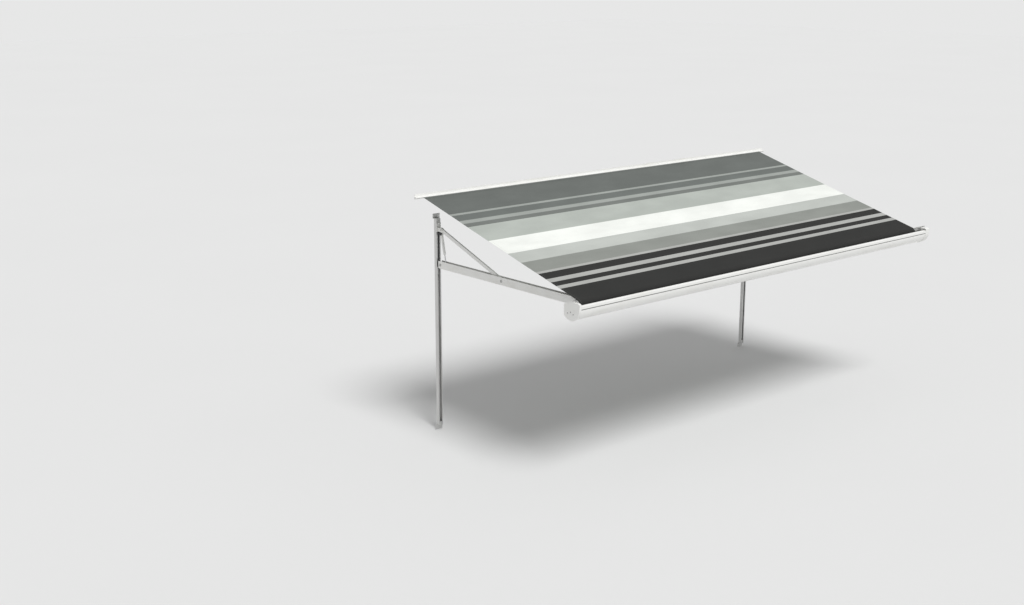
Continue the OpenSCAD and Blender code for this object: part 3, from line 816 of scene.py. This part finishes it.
class AWNING_OT_screws(bpy.types.Operator):
    """Make the socket screws of the caps and brackets and the heads of the strut bolts"""

    bl_idname = "awning.screws"
    bl_label = "Screws"

    def execute(self, context):
        for name, node, body in (
            ("cap_screw_heads", "cap_screws", "boom"),
            ("bracket_screw_heads", "bracket_screws", "root"),
            ("strut_bolt_caps", "strut_bolt_heads", "boom"),
        ):
            bm = bmesh.new()
            for low, high in solid_boxes(node):
                size = high - low
                axis = min(range(3), key=lambda i: size[i])
                middle = (low + high) / 2
                out = Vector((0.0, 0.0, 0.0))
                if node == "strut_bolt_heads":
                    out[axis] = math.copysign(1.0, middle.x - arm_middle(middle.x))
                else:
                    out[axis] = -1.0 if axis == 1 else math.copysign(1.0, middle.x)
                fastener(bm, middle - out * size[axis] / 2, out, max(size) / 2, size[axis], False)
            steel_piece(name, bm, body, node)
        return {"FINISHED"}


class AWNING_OT_bolts(bpy.types.Operator):
    """Make the hex bolts between the arms and the housing"""

    bl_idname = "awning.bolts"
    bl_label = "Arm Bolts"

    def execute(self, context):
        look = context.scene.awning_finish
        bm = bmesh.new()
        for low, high in solid_boxes("arm_bolts"):
            size, middle = high - low, (low + high) / 2
            if size.x < size.z - CROSS_BOLT_GAP:
                out = Vector((math.copysign(1.0, middle.x - arm_middle(middle.x)), 0.0, 0.0))
                reach = size.x
            else:
                out = Vector((0.0, 1.0, 0.0))
                reach = size.y
            seat = middle + out * (reach / 2 - look.bolt_head)
            fastener(bm, seat, out, size.z / 2, look.bolt_head, True)
            rod(bm, seat + out * SHANK_LAP, seat - out * (reach - look.bolt_head), look.bolt_shank)
        steel_piece("arm_hex_bolts", bm, "boom", "arm_bolts")
        return {"FINISHED"}


class AWNING_OT_pivots(bpy.types.Operator):
    """Make the arms' pivot pins with their domed heads"""

    bl_idname = "awning.pivots"
    bl_label = "Arm Pivots"

    def execute(self, context):
        look = context.scene.awning_finish
        bm = bmesh.new()
        for low, high in solid_boxes("arm_pivot_pins"):
            size, middle = high - low, (low + high) / 2
            for way in (-1.0, 1.0):
                out = Vector((way, 0.0, 0.0))
                seat = middle + out * (size.x / 2 - look.pivot_head)
                fastener(bm, seat, out, size.z / 2, look.pivot_head, False)
            span = Vector((size.x / 2 - look.pivot_head + SHANK_LAP, 0.0, 0.0))
            rod(bm, middle - span, middle + span, look.pivot_pin)
        steel_piece("arm_pivots", bm, "boom", "arm_pivot_pins")
        return {"FINISHED"}


def pairs(*names):
    """The left and right node of each name."""
    return [f"{name}_{side}" for name in names for side in ("left", "right")]


class AWNING_OT_finishes(bpy.types.Operator):
    """Make the finishes and give them to the rigid pieces"""

    bl_idname = "awning.finishes"
    bl_label = "Finishes"

    def execute(self, context):
        look = context.scene.awning_finish
        striped_cloth(context.scene.awning_cloth)
        finish_nodes(
            painted("white_powder_coat", look.white_paint),
            "awning_rail",
            "housing_shell",
            "front_lip",
            *pairs("arm", "strut", "strut_bracket", "arm_end_bracket", "gas_cylinder"),
            soft=look.soft,
        )
        finish_nodes(
            moulded("white_moulding", look.white_plastic),
            "crown_ring",
            "drive_wheel",
            "idler_plug",
            *pairs("end_cap", "rail_end_cap", "slide_pads"),
            soft=look.soft,
        )
        finish_nodes(drawn_metal("tube_aluminium", look.aluminium, 0.34, 0), "roller_tube")
        finish_nodes(
            drawn_metal("channel_aluminium", look.aluminium, 0.40, 2),
            *pairs("wall_channel", "top_plate", "foot_plate"),
            soft=look.soft / 2,
        )
        finish_nodes(
            drawn_metal("zinc_steel", look.steel, 0.36, 0),
            "strut_top_pins",
            "arm_spacer_bolts",
            "motor_bracket",
            "idler_stub",
            *pairs("strut_lower_pin"),
        )
        finish_nodes(drawn_metal("rod_chrome", look.chrome, 0.10, 2), *pairs("gas_rod"))
        finish_nodes(
            moulded("dark_moulding", look.dark_plastic, 0.5),
            "tube_motor",
            *pairs("carriage"),
            soft=look.soft,
        )
        finish_nodes(rubbery("bumper_rubber", look.rubber), "channel_bumpers", soft=look.soft)
        finish_nodes(rubbery("seal_rubber", look.seal), "lip_seal", soft=look.soft / 2)
        return {"FINISHED"}


class AWNING_OT_stage(bpy.types.Operator):
    """Set up the floor, the light and the camera"""

    bl_idname = "awning.stage"
    bl_label = "Studio"

    def execute(self, context):
        stage = context.scene.awning_stage
        scene = context.scene
        bm = bmesh.new()
        bmesh.ops.create_grid(
            bm, x_segments=stage.floor_rows, y_segments=stage.floor_rows, size=stage.floor_size
        )
        bmesh.ops.translate(bm, verts=bm.verts, vec=(0.0, 0.0, CAD_BOX[0].z - stage.floor_gap))
        mesh = finished_mesh("floor", bm)
        mesh.materials.append(pale_floor(stage))
        floor = bpy.data.objects.new("floor", mesh)
        scene.collection.objects.link(floor)
        self.light(scene, stage)
        lens = bpy.data.cameras.new("camera")
        lens.sensor_width = 36.0
        lens.lens = stage.lens
        lens.clip_end = 200.0
        camera = bpy.data.objects.new("camera", lens)
        camera.location = stage.camera_place
        camera.rotation_euler = stage.camera_turn
        scene.collection.objects.link(camera)
        scene.camera = camera
        scene.view_settings.view_transform = "Standard"
        return {"FINISHED"}

    def light(self, scene, stage):
        """Even light from all round, seen as a plain backdrop, and a wide soft sun."""
        world = bpy.data.worlds.new("studio")
        world.use_nodes = True
        world.node_tree.nodes.clear()
        nodes = Nodes(world.node_tree)
        path = nodes.node("ShaderNodeLightPath")
        direct = nodes.out(path, "Is Camera Ray").larger(nodes.out(path, "Is Glossy Ray"))
        direct = direct.larger(nodes.out(path, "Is Transmission Ray"))
        white = linear((1.0, 1.0, 1.0))
        even = nodes.node("ShaderNodeBackground", None, {"Color": white, "Strength": stage.sky})
        seen = nodes.node("ShaderNodeBackground", None, {"Color": linear(stage.backdrop)})
        looks = {0: direct, 1: nodes.out(even), 2: nodes.out(seen)}
        chosen = nodes.node("ShaderNodeMixShader", None, looks)
        nodes.node("ShaderNodeOutputWorld", None, {"Surface": nodes.out(chosen)})
        scene.world = world
        data = bpy.data.lights.new("sun", "SUN")
        data.energy = stage.sun
        data.angle = stage.sun_spread
        sun = bpy.data.objects.new("sun", data)
        sun.rotation_euler = stage.sun_turn
        scene.collection.objects.link(sun)


class AWNING_PT_panel(bpy.types.Panel):
    """The awning's sizes, colours and steps"""

    bl_label = "Roll Out Awning"
    bl_idname = "AWNING_PT_panel"
    bl_space_type = "VIEW_3D"
    bl_region_type = "UI"
    bl_category = "Awning"

    def draw(self, context):
        for group in (context.scene.awning_cloth, context.scene.awning_finish, context.scene.awning_stage):
            box = self.layout.box()
            for key in group.__annotations__:
                box.prop(group, key)
        for step in STEPS:
            self.layout.operator(step.bl_idname)


GROUPS = (ClothSettings, FinishSettings, StageSettings)
STEPS = (
    AWNING_OT_finishes,
    AWNING_OT_bead,
    AWNING_OT_cloth,
    AWNING_OT_roll,
    AWNING_OT_screws,
    AWNING_OT_bolts,
    AWNING_OT_pivots,
    AWNING_OT_stage,
)


def register():
    for kind in (*GROUPS, *STEPS, AWNING_PT_panel):
        bpy.utils.register_class(kind)
    bpy.types.Scene.awning_cloth = PointerProperty(type=ClothSettings)
    bpy.types.Scene.awning_finish = PointerProperty(type=FinishSettings)
    bpy.types.Scene.awning_stage = PointerProperty(type=StageSettings)


def unregister():
    del bpy.types.Scene.awning_stage
    del bpy.types.Scene.awning_finish
    del bpy.types.Scene.awning_cloth
    for kind in reversed((*GROUPS, *STEPS, AWNING_PT_panel)):
        bpy.utils.unregister_class(kind)


def main():
    register()
    bpy.ops.awning.finishes()
    bpy.ops.awning.bead()
    bpy.ops.awning.cloth()
    bpy.ops.awning.roll()
    bpy.ops.awning.screws()
    bpy.ops.awning.bolts()
    bpy.ops.awning.pivots()
    bpy.ops.awning.stage()


if __name__ == "__main__":
    main()
